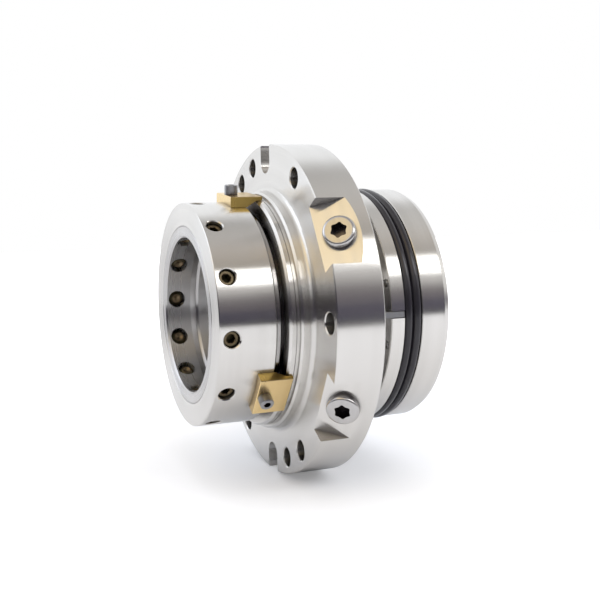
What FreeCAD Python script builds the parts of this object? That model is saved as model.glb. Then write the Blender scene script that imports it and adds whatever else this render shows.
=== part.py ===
import FreeCAD, Part
import math
import os

# Double cartridge mechanical seal for a 100 mm shaft. The shaft axis is X and the atmosphere
# side is -X. The origin lies on the shaft axis in the plane of the gland's front face.
# Angles are degrees about X, from straight up, growing toward -Y.

# Shaft sleeve
shaft_radius = 50.0
sleeve_wall = 7.2
sleeve_flange_width = 4.5
sleeve_flange_height = 8.8
sleeve_edge = 1.0
bore_groove_start = 17.5
bore_groove_taper = 4.3
bore_groove_depth = 1.5

# Drive collar
collar_wall = 14.8
collar_length = 36.2
collar_front_edge = 0.5
collar_edge = 1.0
neck_step = 4.0
neck_length = 4.3
neck_gap = 2.0
collar_fit = 0.03

# Set screws through collar and sleeve
screw_count = 12
rotor_turn = 3.5
screw_setback = 7.9
screw_radius = 5.0
screw_length = 18.0
screw_hex = 5.0
screw_hex_depth = 6.0
screw_tip_gap = 1.2
point_ratio = 0.6
point_length_ratio = 0.4
thread_depth_ratio = 0.15
cup_ratio = 0.5
cup_depth_ratio = 0.24
socket_mouth_ratio = 0.62
thread_gap = 0.05
sleeve_hole_gap = 0.8
hole_edge = 0.5

# Gland plate
flange_rim = 10.9
flange_thickness = 31.0
flange_front_edge = 0.6
flange_rear_edge = 1.0
boss_step = 2.6
boss_height = 8.6
boss_edge = 1.2
boss_fillet = 3.0
lip_wall = 5.7
lip_length = 6.6
lip_edge = 1.4
lip_line_setback = 4.0
lip_line_width = 0.5
lip_line_depth = 0.4
recess_step = 6.8
recess_depth = 3.0
gland_bore_gap = 2.8
chamber_gap = 2.1
gland_turn = -3.6

# Bolting
bolt_circle_step = 20.0
bolt_hole_radius = 6.5
bolt_hole_count = 6
jack_hole_radius = 6.25
jack_hole_count = 2
jack_hole_turn = 15.0
slot_width = 16.0
slot_count = 2
bolt_hole_edge = 0.6

# Barrier fluid ports
port_spread = 60.0
port_tilt = 30.0
port_flat_width = 43.6
port_flat_length = 26.25
port_setback = 12.55
port_thread_radius = 8.3
port_thread_depth = 16.0
port_drill_radius = 4.0
port_mouth_edge = 0.8
drill_tip_angle = 118.0

# Port plugs
plug_head_radius = 10.0
plug_head_round = 2.0
plug_stand = 4.8
plug_thread_length = 13.0
plug_socket_radius = 5.1
plug_socket_waist = 3.9
plug_flute_radius = 1.4
plug_socket_depth = 7.0
lobe_count = 6

# Setting clips
clip_count = 3
clip_length = 21.0
clip_width = 28.8
clip_height = 5.1
clip_edge = 0.4
clip_overlap = 3.7
clip_gap = 0.25
clip_seat_gap = 0.03
clip_screw_setback = 5.0
clip_screw_radius = 2.5
clip_hole_gap = 0.3
clip_head_radius = 4.25
clip_head_height = 6.3
clip_head_edge = 0.5
clip_hex = 4.0
clip_hex_depth = 4.0
clip_screw_reach = 10.0
clip_screw_bottom_gap = 2.0

# Seal faces and seats
face_gap = 0.05
face_bore_gap = 0.5
face_shoulder = 1.5
nose_setback = 1.5
nose_width = 5.0
nose_height = 2.5
nose_taper = 1.0
outboard_face_length = 14.0
inboard_face_length = 11.0
seat_bore_gap = 2.3
seat_wall = 8.4
seat_length = 12.5
seat_fit = 0.1
seat_shelf = 3.0
seat_pin_radius = 1.5
seat_pin_reach = 2.5
seat_slot_gap = 0.4
face_travel = 1.0
ring_edge = 0.4

# Drive ring, springs and drive pins
spring_gap = 4.0
drive_ring_length = 16.0
drive_ring_wall = 9.8
drive_ring_fit = 0.03
spring_count = 6
spring_step = 5.1
spring_pocket_radius = 2.9
spring_pocket_depth = 9.0
spring_coil_radius = 2.1
spring_wire = 0.8
spring_turns = 5
pin_count = 2
drive_pin_radius = 2.0
drive_pin_gap = 0.3
drive_pin_seat = 8.0
drive_pin_reach = 3.0
flange_pin_radius = 1.5
flange_pin_gap = 0.2
flange_pin_seat = 3.0
flange_pin_reach = 2.2
flange_pin_step = 6.0
grub_count = 3
grub_radius = 3.0
grub_hex = 3.0
grub_hex_depth = 3.0
grub_setback = 1.0

# O-rings
cord_small = 3.53
cord_large = 5.7
cord_squeeze_gap = 0.05
cord_groove_ratio = 1.3
carrier_cord_stand = 0.7
gland_cord_step = 6.2
gland_cord_stand = 0.5

# Inboard carrier
carrier_gap = 19.7
carrier_wall = 3.8
carrier_ring_width = 9.5
carrier_groove_width = 12.3
carrier_rear_width = 16.0
carrier_bevel_length = 4.0
carrier_bevel_angle = 25.0
carrier_edge = 0.5
carrier_groove_edge = 0.4
carrier_bore_gap = 3.3
carrier_seat_setback = 2.0
carrier_travel = 0.6

# Lugs that keep the carrier from turning
lug_count = 3
lug_width = 4.0
lug_height = 4.8
lug_edge = 0.3
lug_shank_radius = 2.3
lug_seat = 14.0
notch_gap = 0.3

# Carrier springs
carrier_spring_count = 12
carrier_spring_inset = 4.5
carrier_spring_hole_radius = 2.7
carrier_spring_hole_depth = 7.0
carrier_spring_seat = 8.0
carrier_spring_coil_radius = 1.95
carrier_spring_turns = 8

# How far a cutting body runs past the face that it opens
cut_past = 1.0

# Places worked out from the sizes above
sleeve_radius = shaft_radius + sleeve_wall
collar_radius = sleeve_radius + collar_wall
neck_radius = collar_radius - neck_step
gland_front = -boss_height - lip_length
collar_neck_end = gland_front - neck_gap
collar_shoulder = collar_neck_end - neck_length
collar_front = collar_shoulder - collar_length
screw_x = collar_front + screw_setback
gland_bore_radius = sleeve_radius + gland_bore_gap
recess_radius = gland_bore_radius + recess_step
seat_bore_radius = sleeve_radius + seat_bore_gap
seat_radius = seat_bore_radius + seat_wall
seat_pocket_radius = seat_radius + seat_fit
seat_pin_circle = (seat_bore_radius + seat_radius) / 2
nose_inner_radius = seat_bore_radius + nose_setback
nose_outer_radius = nose_inner_radius + nose_width
face_radius = nose_outer_radius + face_shoulder
chamber_radius = seat_radius + chamber_gap
lip_radius = chamber_radius + lip_wall
boss_radius = lip_radius + boss_step
bolt_circle_radius = boss_radius + bolt_circle_step
flange_radius = bolt_circle_radius + flange_rim
port_turn = gland_turn + 90.0
lug_turn = gland_turn + 90.0
drive_pin_turn = rotor_turn + 90.0
drive_ring_radius = sleeve_radius + drive_ring_wall
spring_circle = sleeve_radius + spring_step
flange_pin_circle = sleeve_radius + flange_pin_step
outboard_seat_back = gland_front + recess_depth + seat_shelf
outboard_seat_face = outboard_seat_back + seat_length
outboard_face_front = outboard_seat_face + face_gap
outboard_face_back = outboard_face_front + outboard_face_length
drive_ring_front = outboard_face_back + spring_gap
drive_ring_back = drive_ring_front + drive_ring_length
grub_x = (drive_ring_front + spring_pocket_depth + drive_ring_back) / 2
carrier_front = flange_thickness + carrier_gap
carrier_groove_front = carrier_front + carrier_ring_width
carrier_groove_back = carrier_groove_front + carrier_groove_width
carrier_recess_radius = chamber_radius
carrier_groove_floor = carrier_recess_radius + carrier_wall
carrier_radius = carrier_groove_floor + cord_large - carrier_cord_stand
carrier_spring_circle = carrier_radius - carrier_spring_inset
gland_cord_circle = carrier_radius + gland_cord_step
carrier_bevel_start = carrier_groove_back + carrier_rear_width
carrier_back = carrier_bevel_start + carrier_bevel_length
carrier_bore_radius = sleeve_radius + carrier_bore_gap
inboard_seat_back = carrier_groove_back - carrier_seat_setback
inboard_seat_face = inboard_seat_back + seat_length
inboard_face_front = inboard_seat_face + face_gap
inboard_face_back = inboard_face_front + inboard_face_length
sleeve_flange_front = inboard_face_back + face_gap
sleeve_back = sleeve_flange_front + sleeve_flange_width
sleeve_flange_radius = sleeve_radius + sleeve_flange_height
shaft_cord_width = cord_small * cord_groove_ratio
shaft_cord_x = sleeve_flange_front - shaft_cord_width
clip_outer = collar_radius + clip_height
clip_front = gland_front + clip_overlap - clip_length
clip_screw_x = clip_front + clip_screw_setback
cord_spare = (carrier_groove_width - 2 * cord_large) / 3
lug_inner = carrier_radius - lug_height
lug_circle = carrier_radius - lug_height / 2
lug_end = carrier_groove_front + cord_spare - carrier_travel - notch_gap / 3
carrier_spring_turn = lug_turn + 180.0 / carrier_spring_count

ORIGIN = FreeCAD.Vector(0, 0, 0)
X_AXIS = FreeCAD.Vector(1, 0, 0)
Y_AXIS = FreeCAD.Vector(0, 1, 0)
Z_AXIS = FreeCAD.Vector(0, 0, 1)


def corner(before, point, after, size, rounded):
    # Trims one corner of an outline by a chamfer or a tangent arc and returns its two ends
    # and, for an arc, its middle.
    to_before = (before - point).normalize()
    to_after = (after - point).normalize()
    half_angle = to_before.getAngle(to_after) / 2
    reach = size / math.tan(half_angle) if rounded else size
    start = point + to_before * reach
    end = point + to_after * reach
    if not rounded:
        return start, None, end
    bisector = (to_before + to_after).normalize()
    middle = point + bisector * (size / math.sin(half_angle) - size)
    return start, middle, end


def turned(outline):
    # Revolves a closed outline of (x, radius) points about the shaft axis. A third value
    # chamfers that corner by its size, and a negative one rounds it.
    points = [FreeCAD.Vector(entry[0], 0, entry[1]) for entry in outline]
    sizes = [entry[2] if len(entry) > 2 else 0 for entry in outline]
    ends = []
    for index, point in enumerate(points):
        before = points[index - 1]
        after = points[(index + 1) % len(points)]
        if sizes[index]:
            ends.append(corner(before, point, after, abs(sizes[index]), sizes[index] < 0))
        else:
            ends.append((point, None, point))
    edges = []
    for index, (start, middle, end) in enumerate(ends):
        if middle:
            edges.append(Part.Arc(start, middle, end).toShape())
        elif start != end:
            edges.append(Part.makeLine(start, end))
        following = ends[(index + 1) % len(ends)][0]
        edges.append(Part.makeLine(end, following))
    face = Part.Face(Part.Wire(edges))
    return face.revolve(ORIGIN, X_AXIS, 360)


def turn(shape, angle):
    # The shape turned about the shaft axis.
    copy = shape.copy()
    copy.rotate(ORIGIN, X_AXIS, angle)
    return copy


def around(shape, count, first=0.0):
    # A full circle of copies about the shaft axis.
    return [turn(shape, first + 360.0 * index / count) for index in range(count)]


def upright(radius, low, high, x):
    # A round bar standing on the shaft axis at x, between two distances from the axis.
    return Part.makeCylinder(radius, high - low, FreeCAD.Vector(x, 0, low), Z_AXIS)


def lengthwise(radius, start, end, height):
    # A round bar parallel to the shaft axis, at a height above it.
    return Part.makeCylinder(radius, end - start, FreeCAD.Vector(start, 0, height), X_AXIS)


def hex_bar(across_flats, length):
    # A hexagonal bar standing on the origin.
    corner_radius = across_flats / math.sqrt(3)
    ring = []
    for index in range(7):
        angle = math.radians(60 * index)
        ring.append(FreeCAD.Vector(corner_radius * math.cos(angle), corner_radius * math.sin(angle), 0))
    return Part.Face(Part.makePolygon(ring)).extrude(Z_AXIS * length)


def lobed_bar(tip_radius, waist_radius, flute_radius, length):
    # A six-lobed bar standing on the origin.
    bar = Part.makeCylinder(tip_radius, length)
    for index in range(lobe_count):
        angle = math.radians(360.0 * (index + 0.5) / lobe_count)
        reach = waist_radius + flute_radius
        spot = FreeCAD.Vector(reach * math.cos(angle), reach * math.sin(angle), 0)
        bar = bar.cut(Part.makeCylinder(flute_radius, length, spot, Z_AXIS))
    return bar


def o_ring(cord, x, inner_radius):
    # A round-section ring about the shaft axis.
    return Part.makeTorus(inner_radius + cord / 2, cord / 2, FreeCAD.Vector(x, 0, 0), X_AXIS)


def shaft_sleeve():
    cord_floor = shaft_radius + cord_small + cord_squeeze_gap
    groove_x = collar_front + bore_groove_start
    groove_floor_x = groove_x + bore_groove_taper
    sleeve = turned([
        (collar_front, shaft_radius, sleeve_edge),
        (collar_front, sleeve_radius, sleeve_edge / 2),
        (sleeve_flange_front, sleeve_radius),
        (sleeve_flange_front, sleeve_flange_radius, sleeve_edge / 2),
        (sleeve_back, sleeve_flange_radius, sleeve_edge),
        (sleeve_back, shaft_radius, sleeve_edge),
        (shaft_cord_x + shaft_cord_width, shaft_radius),
        (shaft_cord_x + shaft_cord_width, cord_floor),
        (shaft_cord_x, cord_floor),
        (shaft_cord_x, shaft_radius),
        (groove_floor_x + bore_groove_depth, shaft_radius),
        (groove_floor_x, shaft_radius + bore_groove_depth),
        (groove_x, shaft_radius),
    ])
    hole = upright(screw_radius + sleeve_hole_gap, shaft_radius - sleeve_wall, collar_radius, screw_x)
    dimple = upright(grub_radius, sleeve_radius - grub_setback, collar_radius, grub_x)
    pin_hole = lengthwise(flange_pin_radius, sleeve_flange_front - cut_past,
                          sleeve_flange_front + flange_pin_seat, flange_pin_circle)
    cutters = around(hole, screw_count, rotor_turn) + around(dimple, grub_count, rotor_turn)
    return sleeve.cut(cutters + around(pin_hole, pin_count, rotor_turn))


def drive_collar():
    bore = sleeve_radius + collar_fit
    collar = turned([
        (collar_front, bore, sleeve_edge / 2),
        (collar_front, collar_radius, collar_front_edge),
        (collar_shoulder, collar_radius, collar_edge),
        (collar_shoulder, neck_radius),
        (collar_neck_end, neck_radius, collar_edge),
        (collar_neck_end, bore, collar_edge / 2),
    ])
    hole_radius = screw_radius + thread_gap
    hole = upright(hole_radius, shaft_radius, collar_radius + screw_radius, screw_x)
    mouth_depth = hole_edge + collar_radius - math.sqrt(collar_radius ** 2 - hole_radius ** 2)
    mouth = Part.makeCone(hole_radius, hole_radius + 2 * mouth_depth, 2 * mouth_depth,
                          FreeCAD.Vector(screw_x, 0, collar_radius - mouth_depth), Z_AXIS)
    tapped_radius = clip_screw_radius + thread_gap
    tapped_bottom = collar_radius - clip_screw_reach - clip_screw_bottom_gap
    tapped = upright(tapped_radius, tapped_bottom, collar_radius + screw_radius, clip_screw_x)
    cutters = around(hole.fuse(mouth), screw_count, rotor_turn)
    cutters += around(tapped, clip_count, rotor_turn)
    return collar.cut(cutters)


def socket_set_screw(radius, length, across_flats, socket_depth):
    # Cup-point set screw standing on its point at the origin.
    point_length = point_length_ratio * radius
    point = Part.makeCone(point_ratio * radius, radius, point_length)
    shank = Part.makeCylinder(radius, length - point_length, Z_AXIS * point_length)
    screw = point.fuse(shank)
    rim = max((edge for edge in screw.Edges if edge.Closed), key=lambda edge: edge.CenterOfMass.z)
    screw = screw.makeChamfer(thread_depth_ratio * radius, [rim])
    socket = hex_bar(across_flats, socket_depth)
    socket.translate(Z_AXIS * (length - socket_depth))
    mouth_radius = socket_mouth_ratio * across_flats
    mouth = Part.makeCone(0, mouth_radius, mouth_radius, Z_AXIS * (length - mouth_radius))
    cup = Part.makeCone(cup_ratio * radius, 0, cup_depth_ratio * radius)
    return screw.cut([socket, mouth, cup])


def collar_set_screws():
    screw = socket_set_screw(screw_radius, screw_length, screw_hex, screw_hex_depth)
    screw.translate(FreeCAD.Vector(screw_x, 0, shaft_radius + screw_tip_gap))
    return Part.makeCompound(around(screw, screw_count, rotor_turn))


def shaft_o_ring():
    return o_ring(cord_small, shaft_cord_x + shaft_cord_width / 2, shaft_radius + cord_squeeze_gap / 2)


def port_frame(side):
    # The placement that carries a plug standing at the origin to the middle of its inclined
    # flat: side is -1 for the upper port and 1 for the lower one.
    tilt = math.radians(port_tilt)
    flat_x = (port_flat_length - port_setback) * math.cos(tilt)
    flat_height = flange_radius - port_setback * math.sin(tilt)
    lean = FreeCAD.Placement(FreeCAD.Vector(flat_x, 0, flat_height), FreeCAD.Rotation(Y_AXIS, -port_tilt))
    swing = FreeCAD.Rotation(X_AXIS, port_turn + side * port_spread / 2)
    return FreeCAD.Placement(ORIGIN, swing).multiply(lean)


def port_cutter(side):
    # The milled flat, tapped hole and cross drilling of one port.
    reach = flange_radius
    flat = Part.makeBox(reach, port_flat_width, reach,
                        FreeCAD.Vector(-reach / 2, -port_flat_width / 2, 0))
    tapped = Part.makeCylinder(port_thread_radius, port_thread_depth, ORIGIN, -Z_AXIS)
    tip_height = port_thread_radius / math.tan(math.radians(drill_tip_angle / 2))
    tip = Part.makeCone(port_thread_radius, 0, tip_height, -Z_AXIS * port_thread_depth, -Z_AXIS)
    mouth = Part.makeCone(port_thread_radius + port_mouth_edge, port_thread_radius, port_mouth_edge,
                          ORIGIN, -Z_AXIS)
    drilling_length = (flange_radius - chamber_radius) / math.cos(math.radians(port_tilt))
    drilling = Part.makeCylinder(port_drill_radius, drilling_length, ORIGIN, -Z_AXIS)
    cutter = flat.fuse([tapped, tip, mouth, drilling])
    cutter.Placement = port_frame(side)
    return cutter


def edged_hole(radius):
    # A hole through the flange on the bolt circle, with a broken front edge.
    through = lengthwise(radius, -boss_height, flange_thickness * 2, bolt_circle_radius)
    edge = Part.makeCone(radius + bolt_hole_edge, radius, bolt_hole_edge,
                         FreeCAD.Vector(0, 0, bolt_circle_radius), X_AXIS)
    return through.fuse(edge)


def gland_plate():
    cord_half = cord_small * cord_groove_ratio / 2
    cord_floor = flange_thickness - cord_small + gland_cord_stand
    line_x = gland_front + lip_line_setback
    gland = turned([
        (gland_front, recess_radius, ring_edge),
        (gland_front, lip_radius, lip_edge),
        (line_x, lip_radius),
        (line_x, lip_radius - lip_line_depth),
        (line_x + lip_line_width, lip_radius - lip_line_depth),
        (line_x + lip_line_width, lip_radius),
        (-boss_height, lip_radius),
        (-boss_height, boss_radius, boss_edge),
        (0, boss_radius, -boss_fillet),
        (0, flange_radius, flange_front_edge),
        (flange_thickness, flange_radius, flange_rear_edge),
        (flange_thickness, gland_cord_circle + cord_half),
        (cord_floor, gland_cord_circle + cord_half),
        (cord_floor, gland_cord_circle - cord_half),
        (flange_thickness, gland_cord_circle - cord_half),
        (flange_thickness, chamber_radius, flange_rear_edge),
        (outboard_seat_face - nose_height, chamber_radius),
        (outboard_seat_face - nose_height, seat_pocket_radius, ring_edge),
        (outboard_seat_back, seat_pocket_radius),
        (outboard_seat_back, gland_bore_radius),
        (gland_front + recess_depth, gland_bore_radius, ring_edge),
        (gland_front + recess_depth, recess_radius),
    ])
    bolt_hole = edged_hole(bolt_hole_radius)
    jack_hole = edged_hole(jack_hole_radius)
    cutters = around(bolt_hole, bolt_hole_count, gland_turn + 180.0 / bolt_hole_count)
    cutters += around(jack_hole, jack_hole_count, gland_turn - jack_hole_turn)
    slot_bar = Part.makeBox(flange_thickness * 2, slot_width, flange_radius,
                            FreeCAD.Vector(-boss_height, -slot_width / 2, bolt_circle_radius))
    slot_end = lengthwise(slot_width / 2, -boss_height, flange_thickness * 2, bolt_circle_radius)
    cutters += around(slot_bar.fuse(slot_end), slot_count, gland_turn)
    lug_hole = lengthwise(lug_shank_radius, flange_thickness - lug_seat, flange_thickness * 2, lug_circle)
    cutters += around(lug_hole, lug_count, lug_turn)
    spring_hole = lengthwise(carrier_spring_hole_radius, flange_thickness - carrier_spring_seat,
                             flange_thickness * 2, carrier_spring_circle)
    cutters += around(spring_hole, carrier_spring_count, carrier_spring_turn)
    cutters.append(turn(lengthwise(seat_pin_radius, outboard_seat_back - seat_pin_reach,
                                   outboard_seat_back + cut_past, seat_pin_circle), gland_turn))
    cutters += [port_cutter(-1), port_cutter(1)]
    return gland.cut(cutters)


def port_plug(side):
    shank = Part.makeCylinder(port_thread_radius - thread_gap, plug_thread_length + plug_stand,
                              -Z_AXIS * plug_thread_length, Z_AXIS)
    head = Part.makeCylinder(plug_head_radius, plug_stand)
    rim = max((edge for edge in head.Edges if edge.Closed), key=lambda edge: edge.CenterOfMass.z)
    head = head.makeFillet(plug_head_round, [rim])
    socket = lobed_bar(plug_socket_radius, plug_socket_waist, plug_flute_radius, plug_socket_depth)
    socket.translate(Z_AXIS * (plug_stand - plug_socket_depth))
    plug = head.fuse(shank).removeSplitter().cut(socket)
    plug.Placement = port_frame(side).multiply(plug.Placement)
    return plug


def setting_clip(index):
    block = Part.makeBox(clip_length, clip_width, clip_outer - shaft_radius,
                         FreeCAD.Vector(clip_front, -clip_width / 2, shaft_radius))
    top_edges = [edge for edge in block.Edges if edge.BoundBox.ZMin > clip_outer - clip_edge]
    block = block.makeChamfer(clip_edge, top_edges)
    # What lies under the clip: the collar, the open neck and the lip.
    under = turned([
        (clip_front - cut_past, shaft_radius / 2),
        (clip_front - cut_past, collar_radius + clip_seat_gap),
        (collar_shoulder, collar_radius + clip_seat_gap),
        (gland_front - clip_gap, lip_radius + clip_gap),
        (0, lip_radius + clip_gap),
        (0, shaft_radius / 2),
    ])
    hole = upright(clip_screw_radius + clip_hole_gap, shaft_radius, clip_outer + cut_past, clip_screw_x)
    clip = block.cut([under, hole])
    return turn(clip, rotor_turn + 360.0 * index / clip_count)


def clip_screws():
    top = clip_outer + clip_head_height
    head = upright(clip_head_radius, clip_outer, top, clip_screw_x)
    rim = max((edge for edge in head.Edges if edge.Closed), key=lambda edge: edge.CenterOfMass.z)
    head = head.makeChamfer(clip_head_edge, [rim])
    shank = upright(clip_screw_radius, collar_radius - clip_screw_reach, clip_outer, clip_screw_x)
    socket = hex_bar(clip_hex, clip_hex_depth)
    socket.translate(FreeCAD.Vector(clip_screw_x, 0, top - clip_hex_depth))
    screw = head.fuse(shank).cut(socket)
    return Part.makeCompound(around(screw, clip_count, rotor_turn))


def seat(back):
    # A stationary face: a plain ring with a raised nose toward +X, a cord groove in its rim
    # and a pin slot in its back.
    face = back + seat_length
    groove_half = cord_small * cord_groove_ratio / 2
    groove_floor = seat_radius - cord_small + 2 * cord_squeeze_gap
    middle = (back + face - nose_height) / 2
    ring = turned([
        (back, seat_bore_radius, ring_edge),
        (back, seat_radius, ring_edge),
        (middle - groove_half, seat_radius),
        (middle - groove_half, groove_floor),
        (middle + groove_half, groove_floor),
        (middle + groove_half, seat_radius),
        (face - nose_height, seat_radius),
        (face - nose_height / 2, nose_outer_radius, ring_edge),
        (face, nose_outer_radius),
        (face, seat_bore_radius, ring_edge),
    ])
    slot_half = seat_pin_radius + seat_slot_gap
    slot_depth = seat_pin_reach + seat_slot_gap
    slot = Part.makeBox(2 * slot_depth, 2 * slot_half, 2 * (seat_pin_circle - seat_bore_radius),
                        FreeCAD.Vector(back - slot_depth, -slot_half, seat_bore_radius - cut_past))
    return ring.cut(turn(slot, gland_turn))


def seat_o_ring(back):
    middle = back + (seat_length - nose_height) / 2
    inner = seat_radius - cord_small + 2 * cord_squeeze_gap
    return o_ring(cord_small - cord_squeeze_gap, middle, inner + cord_squeeze_gap / 2)


def seat_pin(back):
    pin = lengthwise(seat_pin_radius, back - seat_pin_reach, back + seat_pin_reach, seat_pin_circle)
    return turn(pin, gland_turn)


def rotary_face(nose, back, hole_radius, hole_depth, hole_circle, first_hole):
    # A rotating face with a lapped nose, a cord groove in its bore and holes for its pins.
    inward = 1 if back > nose else -1
    bore = sleeve_radius + face_bore_gap
    groove = sleeve_radius + cord_small + 2 * cord_squeeze_gap
    groove_half = cord_small * cord_groove_ratio / 2
    middle = (nose + back) / 2
    ring = turned([
        (nose, nose_inner_radius, ring_edge / 2),
        (nose, nose_outer_radius - nose_taper, ring_edge / 2),
        (nose + inward * nose_height, nose_outer_radius),
        (nose + inward * nose_height, face_radius, ring_edge),
        (back, face_radius, ring_edge),
        (back, bore, ring_edge),
        (middle + inward * groove_half, bore),
        (middle + inward * groove_half, groove),
        (middle - inward * groove_half, groove),
        (middle - inward * groove_half, bore),
        (nose + inward * nose_height / 2, bore, ring_edge / 2),
        (nose + inward * nose_height / 2, nose_inner_radius),
    ])
    start = back - inward * hole_depth
    hole = lengthwise(hole_radius, min(start, back), max(start, back), hole_circle)
    return ring.cut(around(hole, pin_count, first_hole))


def face_o_ring(nose, back):
    return o_ring(cord_small, (nose + back) / 2, sleeve_radius + cord_squeeze_gap)


def drive_ring():
    ring = turned([
        (drive_ring_front, sleeve_radius + drive_ring_fit, ring_edge),
        (drive_ring_front, drive_ring_radius, collar_edge),
        (drive_ring_back, drive_ring_radius, collar_edge),
        (drive_ring_back, sleeve_radius + drive_ring_fit, ring_edge),
    ])
    pocket = lengthwise(spring_pocket_radius, drive_ring_front - cut_past,
                        drive_ring_front + spring_pocket_depth, spring_circle)
    pin_hole = lengthwise(drive_pin_radius, drive_ring_front - cut_past,
                          drive_ring_front + drive_pin_seat, spring_circle)
    tapped = upright(grub_radius + thread_gap, shaft_radius, collar_radius, grub_x)
    cutters = around(pocket, spring_count, rotor_turn) + around(pin_hole, pin_count, drive_pin_turn)
    return ring.cut(cutters + around(tapped, grub_count, rotor_turn))


def drive_ring_screws():
    bottom = sleeve_radius - grub_setback
    length = drive_ring_radius - grub_setback - bottom
    screw = socket_set_screw(grub_radius, length, grub_hex, grub_hex_depth)
    screw.translate(FreeCAD.Vector(grub_x, 0, bottom))
    return Part.makeCompound(around(screw, grub_count, rotor_turn))


def coil_spring(start, end, coil_radius, turns, height_above):
    # A coil spring of square wire lying along the shaft axis between two planes.
    length = end - start - spring_wire
    helix = Part.makeHelix(length / turns, length, coil_radius)
    low = -spring_wire / 2
    corners = [(low, low), (-low, low), (-low, -low), (low, -low), (low, low)]
    section = Part.makePolygon([FreeCAD.Vector(coil_radius + across, 0, up) for across, up in corners])
    spring = Part.Wire(helix.Edges).makePipeShell([section], True, True)
    spring.rotate(ORIGIN, Y_AXIS, 90)
    spring.translate(FreeCAD.Vector(start + spring_wire / 2, 0, height_above))
    return spring


def face_springs():
    start = outboard_face_back + face_travel + cord_squeeze_gap
    end = drive_ring_front + spring_pocket_depth - cord_squeeze_gap
    spring = coil_spring(start, end, spring_coil_radius, spring_turns, spring_circle)
    return Part.makeCompound(around(spring, spring_count, rotor_turn))


def carrier_springs():
    start = flange_thickness - carrier_spring_seat + cord_squeeze_gap
    end = carrier_front + carrier_spring_hole_depth - carrier_travel - cord_squeeze_gap
    spring = coil_spring(start, end, carrier_spring_coil_radius, carrier_spring_turns, carrier_spring_circle)
    return Part.makeCompound(around(spring, carrier_spring_count, carrier_spring_turn))


def face_drive_pins():
    start = outboard_face_back - drive_pin_reach
    pin = lengthwise(drive_pin_radius, start, drive_ring_front + drive_pin_seat, spring_circle)
    return Part.makeCompound(around(pin, pin_count, drive_pin_turn))


def flange_drive_pins():
    start = inboard_face_back - flange_pin_reach
    pin = lengthwise(flange_pin_radius, start, sleeve_flange_front + flange_pin_seat, flange_pin_circle)
    return Part.makeCompound(around(pin, pin_count, rotor_turn))


def inboard_carrier():
    bevel_drop = carrier_bevel_length * math.tan(math.radians(carrier_bevel_angle))
    recess_floor = inboard_seat_face - nose_height
    carrier = turned([
        (carrier_front, carrier_bore_radius, carrier_edge),
        (carrier_front, carrier_radius, carrier_edge),
        (carrier_groove_front, carrier_radius, carrier_groove_edge),
        (carrier_groove_front, carrier_groove_floor),
        (carrier_groove_back, carrier_groove_floor),
        (carrier_groove_back, carrier_radius, carrier_groove_edge),
        (carrier_bevel_start, carrier_radius),
        (carrier_back, carrier_radius - bevel_drop, carrier_edge),
        (carrier_back, carrier_recess_radius, carrier_edge),
        (recess_floor, carrier_recess_radius),
        (recess_floor, seat_pocket_radius, ring_edge),
        (inboard_seat_back, seat_pocket_radius),
        (inboard_seat_back, carrier_bore_radius),
    ])
    notch = Part.makeBox(carrier_ring_width + cut_past, lug_width + 2 * notch_gap, 2 * lug_height,
                         FreeCAD.Vector(carrier_front - cut_past, -lug_width / 2 - notch_gap,
                                        lug_inner - notch_gap))
    spring_hole = lengthwise(carrier_spring_hole_radius, carrier_front - cut_past,
                             carrier_front + carrier_spring_hole_depth, carrier_spring_circle)
    cutters = around(notch, lug_count, lug_turn)
    cutters += around(spring_hole, carrier_spring_count, carrier_spring_turn)
    cutters.append(turn(lengthwise(seat_pin_radius, inboard_seat_back - seat_pin_reach,
                                   inboard_seat_back + cut_past, seat_pin_circle), gland_turn))
    return carrier.cut(cutters)


def carrier_o_ring(index):
    x = carrier_groove_front + cord_spare + cord_large / 2 + index * (cord_large + cord_spare)
    return o_ring(cord_large, x, carrier_groove_floor + cord_squeeze_gap)


def carrier_lugs():
    # Each lug is a flat bar with a round shank pressed into the gland.
    shank = lengthwise(lug_shank_radius, flange_thickness - lug_seat, flange_thickness + cut_past,
                       lug_circle)
    bar = Part.makeBox(lug_end - flange_thickness, lug_width, lug_height,
                       FreeCAD.Vector(flange_thickness, -lug_width / 2, lug_inner))
    bar = bar.makeChamfer(lug_edge, [edge for edge in bar.Edges if edge.CenterOfMass.x > flange_thickness])
    return Part.makeCompound(around(bar.fuse(shank), lug_count, lug_turn))


def gland_o_ring():
    x = flange_thickness - cord_small / 2 + gland_cord_stand + cord_squeeze_gap
    return o_ring(cord_small, x, gland_cord_circle - cord_small / 2)


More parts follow.
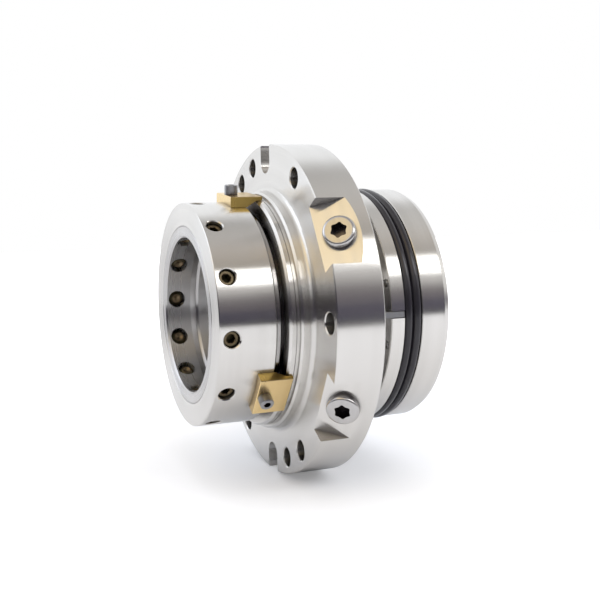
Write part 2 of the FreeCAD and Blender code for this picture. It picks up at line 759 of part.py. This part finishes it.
nodes = {
    "shaft_sleeve": shaft_sleeve(),
    "drive_collar": drive_collar(),
    "collar_set_screws": collar_set_screws(),
    "shaft_o_ring": shaft_o_ring(),
    "gland_plate": gland_plate(),
    "gland_o_ring": gland_o_ring(),
    "port_plug_upper": port_plug(-1),
    "port_plug_lower": port_plug(1),
    "setting_clip_top": setting_clip(0),
    "setting_clip_front": setting_clip(1),
    "setting_clip_rear": setting_clip(2),
    "clip_screws": clip_screws(),
    "outboard_seat": seat(outboard_seat_back),
    "outboard_seat_o_ring": seat_o_ring(outboard_seat_back),
    "outboard_seat_pin": seat_pin(outboard_seat_back),
    "outboard_rotary_face": rotary_face(
        outboard_face_front, outboard_face_back, drive_pin_radius + drive_pin_gap,
        drive_pin_reach + face_travel + drive_pin_gap, spring_circle, drive_pin_turn),
    "outboard_face_o_ring": face_o_ring(outboard_face_front, outboard_face_back),
    "face_springs": face_springs(),
    "face_drive_pins": face_drive_pins(),
    "drive_ring": drive_ring(),
    "drive_ring_screws": drive_ring_screws(),
    "inboard_seat": seat(inboard_seat_back),
    "inboard_seat_o_ring": seat_o_ring(inboard_seat_back),
    "inboard_seat_pin": seat_pin(inboard_seat_back),
    "inboard_rotary_face": rotary_face(
        inboard_face_front, inboard_face_back, flange_pin_radius + flange_pin_gap,
        flange_pin_reach + flange_pin_gap, flange_pin_circle, rotor_turn),
    "inboard_face_o_ring": face_o_ring(inboard_face_front, inboard_face_back),
    "flange_drive_pins": flange_drive_pins(),
    "inboard_carrier": inboard_carrier(),
    "carrier_o_ring_front": carrier_o_ring(0),
    "carrier_o_ring_rear": carrier_o_ring(1),
    "carrier_lugs": carrier_lugs(),
    "carrier_springs": carrier_springs(),
}

os.makedirs("parts", exist_ok=True)
for name, shape in nodes.items():
    shape.exportStep("parts/" + name + ".step")
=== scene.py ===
import bpy
import math
from mathutils import Matrix, Vector


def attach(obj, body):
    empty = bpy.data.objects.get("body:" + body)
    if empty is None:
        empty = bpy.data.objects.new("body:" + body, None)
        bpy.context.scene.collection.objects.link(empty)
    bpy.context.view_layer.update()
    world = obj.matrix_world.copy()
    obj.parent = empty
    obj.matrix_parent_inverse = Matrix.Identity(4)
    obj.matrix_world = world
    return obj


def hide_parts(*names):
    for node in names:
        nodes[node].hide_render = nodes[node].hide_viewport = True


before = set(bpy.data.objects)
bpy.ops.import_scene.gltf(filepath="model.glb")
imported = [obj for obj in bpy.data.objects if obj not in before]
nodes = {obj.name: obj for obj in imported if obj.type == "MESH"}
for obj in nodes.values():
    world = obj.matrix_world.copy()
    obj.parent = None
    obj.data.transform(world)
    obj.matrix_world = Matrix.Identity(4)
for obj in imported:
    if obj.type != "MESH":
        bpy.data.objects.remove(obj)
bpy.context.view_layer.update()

bpy.ops.object.select_all(action="DESELECT")


# Shaft sleeve. A plain tube with a flange at the pump end, turned from stainless bar. The shaft
# goes through its bore, and the faces, the drive ring and the collar sit on its ground outside.
fine_rings, broad_rings = 2600.0, 140.0
fine_detail, broad_detail = 2.0, 3.0
end_face_slope = 0.4
gloss_spread = 0.15
ring_depth = 0.00002
quarter_turn = 0.25


def feed(socket, source):
    """Links another node's output to an input, or sets the input to a plain value."""
    if isinstance(source, bpy.types.NodeSocket):
        socket.id_data.links.new(source, socket)
    else:
        socket.default_value = source


def add_node(tree, kind, sources=None, **settings):
    """A new shader node with its settings, and with the sources of its inputs."""
    node = tree.nodes.new("ShaderNode" + kind)
    for name, value in settings.items():
        setattr(node, name, value)
    for socket, source in (sources or {}).items():
        feed(node.inputs[socket], source)
    return node


def mix_colours(tree, share, first, second):
    """The first colour where the share is 0 and the second where it is 1."""
    both = add_node(tree, "Mix", {"Factor": share, "A": first, "B": second}, data_type="RGBA")
    return both.outputs["Result"]


def new_material(name):
    """A material, its node tree and its shader."""
    material = bpy.data.materials.new(name)
    material.use_nodes = True
    return material, material.node_tree, material.node_tree.nodes["Principled BSDF"]


def turning_marks():
    """Node group: rings left by a lathe about the X axis, on end faces and along cylinders."""
    group = bpy.data.node_groups.new("turning_marks", "ShaderNodeTree")
    for name, value in (("Pitch", fine_rings), ("Breadth", broad_rings)):
        socket = group.interface.new_socket(name, in_out="INPUT", socket_type="NodeSocketFloat")
        socket.default_value = value
    for name in ("Fine", "Broad"):
        group.interface.new_socket(name, in_out="OUTPUT", socket_type="NodeSocketFloat")
    inputs = group.nodes.new("NodeGroupInput")
    outputs = group.nodes.new("NodeGroupOutput")
    place = add_node(group, "TexCoord")
    parts = add_node(group, "SeparateXYZ", {0: place.outputs["Object"]})
    across = add_node(group, "CombineXYZ", {"Y": parts.outputs["Y"], "Z": parts.outputs["Z"]})
    radius = add_node(group, "VectorMath", {0: across.outputs[0]}, operation="LENGTH")
    facing = add_node(group, "SeparateXYZ", {0: place.outputs["Normal"]})
    slope = add_node(group, "Math", {0: facing.outputs["X"]}, operation="ABSOLUTE")
    is_end = add_node(group, "Math", {0: slope.outputs[0], 1: end_face_slope},
                      operation="GREATER_THAN")
    end_radius = add_node(group, "Math", {0: radius.outputs["Value"], 1: is_end.outputs[0]},
                          operation="MULTIPLY")
    pair = add_node(group, "CombineXYZ", {"X": parts.outputs["X"], "Y": end_radius.outputs[0]})
    for output, rate, detail in (("Fine", "Pitch", fine_detail),
                                 ("Broad", "Breadth", broad_detail)):
        noise = add_node(group, "TexNoise", {"Vector": pair.outputs[0], "Detail": detail,
                                             "Scale": inputs.outputs[rate]}, noise_dimensions="2D")
        feed(outputs.inputs[output], noise.outputs["Fac"])
    return group


lathe_rings = turning_marks()


def metal(name, colour, shade, roughness, anisotropy=0.0, relief=0.2, pitch=fine_rings,
          breadth=broad_rings):
    """A machined metal, which goes from colour to shade and varies in gloss from ring to ring."""
    material, tree, shader = new_material(name)
    marks = add_node(tree, "Group", {"Pitch": pitch, "Breadth": breadth}, node_tree=lathe_rings)
    tint = mix_colours(tree, marks.outputs["Broad"], (*colour, 1.0), (*shade, 1.0))
    gloss = add_node(tree, "MapRange", {"Value": marks.outputs["Broad"],
                                        "To Min": roughness * (1.0 - gloss_spread),
                                        "To Max": roughness * (1.0 + gloss_spread)})
    bump = add_node(tree, "Bump", {"Height": marks.outputs["Fine"], "Strength": relief,
                                   "Distance": ring_depth})
    along = add_node(tree, "Tangent", direction_type="RADIAL", axis="X")
    for socket, source in (("Base Color", tint),
                           ("Metallic", 1.0),
                           ("Roughness", gloss.outputs["Result"]),
                           ("Normal", bump.outputs["Normal"]),
                           ("Anisotropic", anisotropy),
                           ("Anisotropic Rotation", quarter_turn),
                           ("Tangent", along.outputs["Tangent"])):
        feed(shader.inputs[socket], source)
    return material


def dress(material, slot, *names):
    """Gives CAD nodes their finish."""
    for name in names:
        nodes[name].data.materials.clear()
        nodes[name].data.materials.append(material)


bored_steel = metal("bored_stainless", colour=(0.62, 0.61, 0.605), shade=(0.54, 0.53, 0.525),
                    roughness=0.28, anisotropy=1.0, relief=0.15)
dress(bored_steel, "stainless", "shaft_sleeve")


# O-rings. Moulded black elastomer, a little dusty in its low spots. They seal the sleeve on the
# shaft and the gland on the pump, and sit in the grooves of the seats, the faces and the carrier.
rubber_grain, rubber_detail = 160.0, 5.0
rubber_black, rubber_dust = (0.017, 0.016, 0.021), (0.029, 0.027, 0.035)
rubber_gloss, rubber_dull = 0.16, 0.24
rubber_relief, rubber_depth = 0.03, 0.00004

black_elastomer, rubber_tree, rubber = new_material("black_elastomer")
rubber_place = add_node(rubber_tree, "TexCoord")
bloom = add_node(rubber_tree, "TexNoise", {"Vector": rubber_place.outputs["Object"],
                                           "Scale": rubber_grain, "Detail": rubber_detail})
dust = mix_colours(rubber_tree, bloom.outputs["Fac"], (*rubber_black, 1.0), (*rubber_dust, 1.0))
dullness = add_node(rubber_tree, "MapRange", {"Value": bloom.outputs["Fac"],
                                              "To Min": rubber_gloss, "To Max": rubber_dull})
skin = add_node(rubber_tree, "Bump", {"Height": bloom.outputs["Fac"],
                                      "Strength": rubber_relief, "Distance": rubber_depth})
feed(rubber.inputs["Base Color"], dust)
feed(rubber.inputs["Roughness"], dullness.outputs["Result"])
feed(rubber.inputs["Normal"], skin.outputs["Normal"])
dress(black_elastomer, "elastomer", "shaft_o_ring", "gland_o_ring", "outboard_seat_o_ring",
      "outboard_face_o_ring", "inboard_seat_o_ring", "inboard_face_o_ring",
      "carrier_o_ring_front", "carrier_o_ring_rear")


# Seal faces. The stationary seats are sintered carbide and the rotating faces carbon. Both are
# lapped flat where they meet, and pinned against turning.
lapped_carbide = metal("lapped_carbide", colour=(0.16, 0.16, 0.17), shade=(0.12, 0.12, 0.13),
                       roughness=0.22, anisotropy=0.3, relief=0.1)
lapped_carbon = metal("lapped_carbon", colour=(0.07, 0.07, 0.075), shade=(0.05, 0.05, 0.055),
                      roughness=0.35, anisotropy=0.3, relief=0.1)
dress(lapped_carbide, "seal_ceramic", "outboard_seat", "inboard_seat")
dress(lapped_carbon, "seal_carbon", "outboard_rotary_face", "inboard_rotary_face")


# Pins, lugs and inner screws. Small parts in plain hardened steel. They keep the seats, the
# faces, the drive ring and the carrier from turning in what holds them.
occlusion_samples = 16


def paint_shade_in_hollows(material, reach, painted_shade=(0.11, 0.10, 0.105), shut=0.40, open_to=0.92):
    """Paints shade into sockets and corners, as a darker colour where ambient occlusion finds
    cover.

    What lies within reach counts as cover. The painted shade is full where less than shut is open,
    and gone where more than open_to is."""
    tree = material.node_tree
    base = tree.nodes["Principled BSDF"].inputs["Base Color"]
    clean = base.links[0].from_socket
    # Painted shade: ambient occlusion darkens the base colour in hollows and corners.
    cover = add_node(tree, "AmbientOcclusion", {"Distance": reach}, samples=occlusion_samples)
    openness = add_node(tree, "MapRange", {"Value": cover.outputs["AO"],
                                           "From Min": shut, "From Max": open_to})
    feed(base, mix_colours(tree, openness.outputs["Result"], (*painted_shade, 1.0), clean))


screw_steel = metal("screw_steel", colour=(0.40, 0.40, 0.41), shade=(0.30, 0.30, 0.31),
                    roughness=0.30, pitch=1200.0, breadth=300.0)
# Painted shade in the sockets and corners of the pins, lugs and screws.
paint_shade_in_hollows(screw_steel, reach=0.004)
dress(screw_steel, "screw_steel", "outboard_seat_pin", "inboard_seat_pin", "face_drive_pins",
      "flange_drive_pins", "drive_ring_screws", "carrier_lugs")


# Inboard carrier. A turned stainless head that holds the inboard seat. It is pushed by the
# carrier springs, kept from turning by lugs and sealed in the pump by its two O-rings.
stainless, stainless_shade = (0.76, 0.745, 0.72), (0.68, 0.665, 0.64)


def turned(name):
    """Bright stainless as it comes off the lathe."""
    return metal(name, stainless, stainless_shade, roughness=0.24, anisotropy=1.0, relief=0.30)


turned_steel = turned("turned_stainless")
dress(turned_steel, "stainless", "inboard_carrier")


# Springs. Coils wound from drawn stainless wire. Six push the outboard rotating face to its
# seat, and twelve push the inboard carrier.
spring_wire = metal("spring_wire", colour=(0.60, 0.59, 0.58), shade=(0.45, 0.45, 0.45),
                    roughness=0.28, pitch=1500.0, breadth=500.0)
dress(spring_wire, "spring_steel", "face_springs", "carrier_springs")


# Gland plate. Turned from stainless, drilled and slotted for the studs, with two inclined
# flats milled into its front corner for the barrier fluid ports.
drilled_steel = turned("drilled_stainless")
# Painted shade in the gland's holes, slots and pocket corners.
paint_shade_in_hollows(drilled_steel, reach=0.016, painted_shade=(0.125, 0.11, 0.10), shut=0.15, open_to=0.70)
dress(drilled_steel, "stainless", "gland_plate")


# Port plugs. Turned screw plugs with a rounded head and a six-lobed socket, hardened and left
# plain. They close the two inclined ports until the barrier fluid pipes are fitted.
head_radius, head_height, head_round = 0.010, 0.0048, 0.0023
head_sides, head_round_steps = 96, 6
shank_radius, shank_length, shank_edge = 0.0082, 0.013, 0.001
lobe_radius, lobe_waist, lobe_round, lobe_depth = 0.0056, 0.72, 0.0012, 0.007
lobe_sides, lobe_round_steps = 12, 4
lobe_step = 2.0 * math.pi / lobe_sides
nearly = 0.99
smooth_below = math.radians(32.0)
flange_radius = 0.1092
flat_tilt, flat_length, flat_setback = math.radians(30.0), 0.02625, 0.01255
port_x = (flat_length - flat_setback) * math.cos(flat_tilt)
port_height = flange_radius - flat_setback * math.sin(flat_tilt)
ports_turn, port_spread = 86.4, 30.0

plug_steel = metal("plug_steel", colour=(0.60, 0.59, 0.58), shade=(0.46, 0.45, 0.45),
                   roughness=0.24, pitch=1200.0, breadth=300.0)
# Painted shade in the plugs' sockets and on their sides near the flats.
paint_shade_in_hollows(plug_steel, reach=0.010)


def pick(piece, kind, wanted):
    """Selects the edges or faces whose middle and direction the test wants, and nothing else."""
    bpy.ops.object.mode_set(mode="EDIT")
    bpy.ops.mesh.select_mode(type=kind)
    bpy.ops.mesh.select_all(action="DESELECT")
    bpy.ops.object.mode_set(mode="OBJECT")
    if kind == "FACE":
        for face in piece.data.polygons:
            face.select = wanted(face.center, face.normal)
    else:
        corners = piece.data.vertices
        for edge in piece.data.edges:
            start, end = (corners[index].co for index in edge.vertices)
            edge.select = wanted((start + end) / 2.0, end - start)
    bpy.ops.object.mode_set(mode="EDIT")


def runs_along(middle, way):
    """An edge along the plug's axis."""
    return abs(way.z) > lobe_depth


def is_waist(middle, way):
    """Every second edge along the axis, which comes in to leave six lobes."""
    return runs_along(middle, way) and round(math.atan2(middle.x, middle.y) / lobe_step) % 2 == 1


bpy.ops.object.select_all(action="DESELECT")
bpy.ops.mesh.primitive_cylinder_add(vertices=head_sides, radius=head_radius, depth=head_height,
                                    location=(0.0, 0.0, head_height / 2.0))
bpy.ops.object.transform_apply(location=True, rotation=True, scale=True)
upper_plug = bpy.context.object
pick(upper_plug, "FACE", lambda middle, normal: normal.z < -nearly)
bpy.ops.mesh.inset(thickness=head_radius - shank_radius)
bpy.ops.mesh.extrude_region_move(TRANSFORM_OT_translate={"value": (0.0, 0.0, -shank_length)})
pick(upper_plug, "EDGE", lambda middle, way: middle.z < -shank_length * nearly)
bpy.ops.mesh.bevel(offset=shank_edge, segments=1)
pick(upper_plug, "EDGE", lambda middle, way: middle.z > head_height * nearly)
bpy.ops.mesh.bevel(offset=head_round, segments=head_round_steps)
bpy.ops.object.mode_set(mode="OBJECT")

bpy.ops.object.select_all(action="DESELECT")
bpy.ops.mesh.primitive_cylinder_add(vertices=lobe_sides, radius=lobe_radius,
                                    depth=2.0 * lobe_depth, location=(0.0, 0.0, head_height))
bpy.ops.object.transform_apply(location=True, rotation=True, scale=True)
broach = bpy.context.object
pick(broach, "EDGE", is_waist)
bpy.ops.transform.resize(value=(lobe_waist, lobe_waist, 1.0))
pick(broach, "EDGE", runs_along)
bpy.ops.mesh.bevel(offset=lobe_round, segments=lobe_round_steps)
bpy.ops.object.mode_set(mode="OBJECT")

bpy.ops.object.select_all(action="DESELECT")
bpy.context.view_layer.objects.active = upper_plug
upper_plug.select_set(True)
socket = upper_plug.modifiers.new("socket", "BOOLEAN")
socket.operation = "DIFFERENCE"
socket.object = broach
bpy.ops.object.modifier_apply(modifier=socket.name)
bpy.data.objects.remove(broach)
bpy.ops.object.shade_smooth_by_angle(angle=smooth_below)
upper_plug.data.materials.append(plug_steel)
lower_plug = upper_plug.copy()
lower_plug.data = upper_plug.data.copy()
bpy.context.scene.collection.objects.link(lower_plug)

for plug, name, node, turn, screwed in (
        (upper_plug, "upper_port_plug", "port_plug_upper", ports_turn - port_spread, -19.0),
        (lower_plug, "lower_port_plug", "port_plug_lower", ports_turn + port_spread, 15.0)):
    plug.name = name
    plug.matrix_world = (Matrix.Rotation(math.radians(turn), 4, "X")
                         @ Matrix.Translation((port_x, 0.0, port_height))
                         @ Matrix.Rotation(-flat_tilt, 4, "Y")
                         @ Matrix.Rotation(math.radians(screwed), 4, "Z"))
    bpy.ops.object.select_all(action="DESELECT")
    bpy.context.view_layer.objects.active = plug
    plug.select_set(True)
    bpy.ops.object.transform_apply(location=True, rotation=True, scale=True)
    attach(plug, "gland")
    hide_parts(node)


# Drive ring. A turned stainless ring screwed to the sleeve, bored for the face springs and for
# the pins that turn the outboard face.
dress(turned_steel, "stainless", "drive_ring")


# Drive collar. A thick stainless ring that grips the shaft by its set screws and drives the
# sleeve. Its rear end is stepped down to leave room for the tabs of the setting clips.
collar_steel = turned("collar_stainless")
# Painted shade in the collar's screw holes and corners.
paint_shade_in_hollows(collar_steel, reach=0.006)
dress(collar_steel, "stainless", "drive_collar")


# Set screws of the collar. Hardened socket screws with cup points, yellow passivated. They go
# through the collar and the sleeve to the shaft.
yellow_zinc = metal("yellow_zinc", colour=(0.19, 0.18, 0.105), shade=(0.21, 0.125, 0.085),
                    roughness=0.42, relief=0.05, pitch=300.0, breadth=120.0)
# Painted shade in the set screws' sockets and in the holes they sit in.
paint_shade_in_hollows(yellow_zinc, reach=0.004, painted_shade=(0.10, 0.09, 0.05))
dress(yellow_zinc, "yellow_zinc", "collar_set_screws")


# Setting clips. Milled brass blocks screwed to the collar, with painted shade on the sides that
# look round the shaft. Their tabs hold the sleeve at its working length until the seal is fitted.
painted_side_shade = (0.36, 0.25, 0.075)
side_from, side_to = 0.035, 0.055

milled_brass = metal("milled_brass", colour=(0.88, 0.68, 0.36), shade=(0.80, 0.58, 0.27),
                     roughness=0.28, relief=0.05, pitch=300.0, breadth=110.0)
brass_tree = milled_brass.node_tree
brass_base = brass_tree.nodes["Principled BSDF"].inputs["Base Color"]
brass_place = add_node(brass_tree, "TexCoord")
# Painted shade: faces that look round the shaft get a darker brass colour.
lever = add_node(brass_tree, "VectorMath", {0: brass_place.outputs["Object"],
                                            1: brass_place.outputs["Normal"]},
                 operation="CROSS_PRODUCT")
lever_parts = add_node(brass_tree, "SeparateXYZ", {0: lever.outputs[0]})
lever_size = add_node(brass_tree, "Math", {0: lever_parts.outputs["X"]}, operation="ABSOLUTE")
shaded_side_share = add_node(brass_tree, "MapRange", {"Value": lever_size.outputs[0],
                                            "From Min": side_from, "From Max": side_to})
feed(brass_base, mix_colours(brass_tree, shaded_side_share.outputs["Result"],
                             brass_base.links[0].from_socket, (*painted_side_shade, 1.0)))
dress(milled_brass, "brass", "setting_clip_top", "setting_clip_front", "setting_clip_rear")


# Cap screws of the clips. Small socket screws in plain steel, one through each clip into the
# collar. They come out with the clips once the seal is fitted.
dress(screw_steel, "screw_steel", "clip_screws")


# Table. A white sheet under the seal, with a painted glow for the eye that is weak near the seal,
# where its soft shadow lies, and strong farther off, so it stays white. Metal sees a faint painted
# glow of it.
table_size, table_gap = 2.8, 0.0002
table_middle = (0.45, 0.2, -flange_radius - table_gap)
glow_starts, glow_full = 0.20, 0.55
near_glow, far_glow, mirrored_glow = 0.24, 0.9, 0.04

bpy.ops.mesh.primitive_plane_add(size=table_size, location=table_middle)
table = bpy.context.object
table.name = "table"
table_paint, paint_tree, paint = new_material("table_paint")
ray = add_node(paint_tree, "LightPath")
spot = add_node(paint_tree, "TexCoord")
away = add_node(paint_tree, "VectorMath", {0: spot.outputs["Object"], 1: -table.location},
                operation="DISTANCE")
# Painted glow: weaker near the seal, stronger far off.
glow_here = add_node(paint_tree, "MapRange", {"Value": away.outputs["Value"],
                                              "From Min": glow_starts, "From Max": glow_full,
                                              "To Min": near_glow, "To Max": far_glow},
                     interpolation_type="SMOOTHSTEP")
seen_glow = add_node(paint_tree, "Math", {0: ray.outputs["Is Camera Ray"],
                                          1: glow_here.outputs["Result"]}, operation="MULTIPLY")
mirrored = add_node(paint_tree, "Math", {0: ray.outputs["Is Glossy Ray"],
                                         1: ray.outputs["Is Transmission Ray"]},
                    operation="MAXIMUM")
metal_glow = add_node(paint_tree, "Math", {0: mirrored.outputs[0], 1: mirrored_glow},
                      operation="MULTIPLY")
paint_glow = add_node(paint_tree, "Math", {0: seen_glow.outputs[0], 1: metal_glow.outputs[0]},
                      operation="MAXIMUM")
for input_name, source in (("Base Color", (0.87, 0.89, 0.94, 1.0)),
                           ("Roughness", 0.7),
                           ("Specular IOR Level", 0.2),
                           ("Emission Color", (1.0, 1.0, 1.0, 1.0)),
                           ("Emission Strength", paint_glow.outputs[0])):
    feed(paint.inputs[input_name], source)
table.data.materials.append(table_paint)


# Studio. A white backdrop behind the seal, a dim room in front, and a light wall to the left
# with a warm patch and a cool window. Each side changes with the height, from the table's edge
# up and over. A long soft box lights the front, and a second lamp fills the shadows from above.
room = bpy.data.worlds.new("room")
bpy.context.scene.world = room
room.use_nodes = True
room_tree = room.node_tree
room_tree.nodes.clear()
sky = add_node(room_tree, "TexCoord")


def side_of_room(angle, stops):
    """A colour ramp over an angle. Each stop is its degrees and its colour."""
    low, high = stops[0][0], stops[-1][0]
    along = add_node(room_tree, "MapRange", {"Value": angle, "From Min": math.radians(low),
                                             "From Max": math.radians(high)})
    ramp = add_node(room_tree, "ValToRGB", {"Fac": along.outputs["Result"]})
    ends = ramp.color_ramp.elements
    ends[0].position, ends[0].color = 0.0, (*stops[0][1], 1.0)
    ends[1].position, ends[1].color = 1.0, (*stops[-1][1], 1.0)
    for degrees, colour in stops[1:-1]:
        ends.new((degrees - low) / (high - low)).color = (*colour, 1.0)
    return ramp.outputs["Color"]


def fade(measure, low, high, before, after):
    """Goes softly from one colour to another while the measure rises from low to high.

    The measure is a part of the unit vector toward what is seen, or its closeness to one way."""
    share = add_node(room_tree, "MapRange", {"Value": measure, "From Min": low, "From Max": high},
                     interpolation_type="SMOOTHSTEP")
    return mix_colours(room_tree, share.outputs["Result"], before, after)


def bright_patch(under, way, edge, core, colour):
    """A round patch of another colour toward way, whose edge and core are in degrees."""
    near = add_node(room_tree, "VectorMath", {0: sky.outputs["Generated"],
                                              1: Vector(way).normalized()},
                    operation="DOT_PRODUCT")
    return fade(near.outputs["Value"], math.cos(math.radians(edge)),
                math.cos(math.radians(core)), under, (*colour, 1.0))


heading = add_node(room_tree, "SeparateXYZ", {0: sky.outputs["Generated"]})
forward = add_node(room_tree, "Math", {0: heading.outputs["Y"], 1: -1.0}, operation="MULTIPLY")
over = add_node(room_tree, "Math", {0: heading.outputs["Z"], 1: forward.outputs[0]},
                operation="ARCTAN2")
rise = add_node(room_tree, "Math", {0: heading.outputs["Z"]}, operation="ARCSINE")
table_white, table_edge = (0.83, 0.82, 0.81), (0.055, 0.055, 0.06)
table_stops = ((-20.0, table_white), (-7.4, table_white), (-4.0, table_edge))
front = side_of_room(over.outputs[0], (
    *table_stops, (1.0, (0.075, 0.070, 0.10)), (8.0, (0.09, 0.085, 0.115)),
    (10.0, (0.15, 0.135, 0.155)), (22.0, (0.19, 0.17, 0.18)), (28.0, (0.34, 0.32, 0.31)),
    (35.0, (0.50, 0.48, 0.47)), (52.0, (0.38, 0.36, 0.34)), (57.0, (0.26, 0.235, 0.22)),
    (75.0, (0.46, 0.42, 0.39)), (92.0, (0.50, 0.48, 0.46)), (110.0, (0.43, 0.42, 0.41)),
    (130.0, (0.90, 0.91, 0.93)), (180.0, (1.0, 1.0, 1.0))))
right = side_of_room(over.outputs[0], (
    *table_stops, (1.0, (0.16, 0.15, 0.19)), (8.0, (0.19, 0.18, 0.22)),
    (20.0, (0.32, 0.30, 0.31)), (28.0, (0.80, 0.79, 0.78)), (36.0, (1.1, 1.1, 1.1)),
    (52.0, (1.0, 1.0, 1.0)), (60.0, (0.62, 0.61, 0.60)), (85.0, (0.85, 0.84, 0.83)),
    (130.0, (0.95, 0.95, 0.96)), (180.0, (1.0, 1.0, 1.0))))
left = side_of_room(rise.outputs[0], (
    (-10.0, (0.80, 0.80, 0.80)), (-8.0, (0.60, 0.59, 0.60)), (-6.0, (0.05, 0.045, 0.06)),
    (4.0, (0.05, 0.045, 0.06)), (13.0, (0.09, 0.085, 0.09)), (22.0, (0.55, 0.55, 0.56)),
    (30.0, (1.05, 1.05, 1.08)), (60.0, (0.95, 0.93, 0.90)), (90.0, (0.6, 0.58, 0.56))))
ahead = fade(heading.outputs["X"], low=0.43, high=0.53, before=front, after=right)
sides = fade(heading.outputs["X"], low=-0.28, high=0.22, before=left, after=ahead)
backdrop = (1.09, 1.11, 1.14, 1.0)
walls = fade(heading.outputs["Y"], low=0.45, high=0.70, before=sides, after=backdrop)
warm_wall = bright_patch(walls, way=(-0.54, -0.41, 0.73), edge=26.0, core=12.0,
                         colour=(1.35, 1.08, 0.66))
window = bright_patch(warm_wall, way=(-0.77, 0.50, 0.40), edge=27.0, core=12.0,
                      colour=(1.9, 2.0, 2.2))
eye = add_node(room_tree, "LightPath")
seen = mix_colours(room_tree, eye.outputs["Is Camera Ray"], window, (1.0, 1.0, 1.0, 1.0))
light = add_node(room_tree, "Background", {"Color": seen})
add_node(room_tree, "OutputWorld", {"Surface": light.outputs[0]})


def soft_box(name, place, width, height, strength):
    """A rectangular lamp, its long side along the shaft, that faces the shaft's line."""
    data = bpy.data.lights.new(name, "AREA")
    data.shape = "RECTANGLE"
    data.size, data.size_y = width, height
    data.energy = strength * math.pi * width * height
    lamp = bpy.data.objects.new(name, data)
    bpy.context.scene.collection.objects.link(lamp)
    side = Vector((1.0, 0.0, 0.0))
    back = Vector((0.0, place[1], place[2])).normalized()
    lamp.matrix_world = Matrix.Translation(place) @ Matrix(
        (side, back.cross(side), back)).transposed().to_4x4()
    return lamp


soft_box("long_soft_box", place=(1.45, -1.584, 1.518), width=2.2, height=0.62, strength=3.2)
fill = soft_box("fill_above", place=(0.3, -0.4, 2.0), width=1.6, height=1.6, strength=1.5)
fill.visible_glossy = False


# Camera. It stands in front of the collar, a little above the shaft. Its place, its lens and
# the way it looks were fitted to the photograph's outlines.
camera_place = (-0.2203, -0.5843, 0.1001)
camera_way = Vector((0.3794, 0.9133, -0.1485))

view = bpy.data.cameras.new("camera")
view.lens = 56.64
view.sensor_width = 36.0
view.clip_start = 0.01
camera = bpy.data.objects.new("camera", view)
bpy.context.scene.collection.objects.link(camera)
camera.location = camera_place
camera.rotation_euler = camera_way.to_track_quat("-Z", "Y").to_euler()
bpy.context.scene.camera = camera
bpy.context.scene.view_settings.view_transform = "Standard"
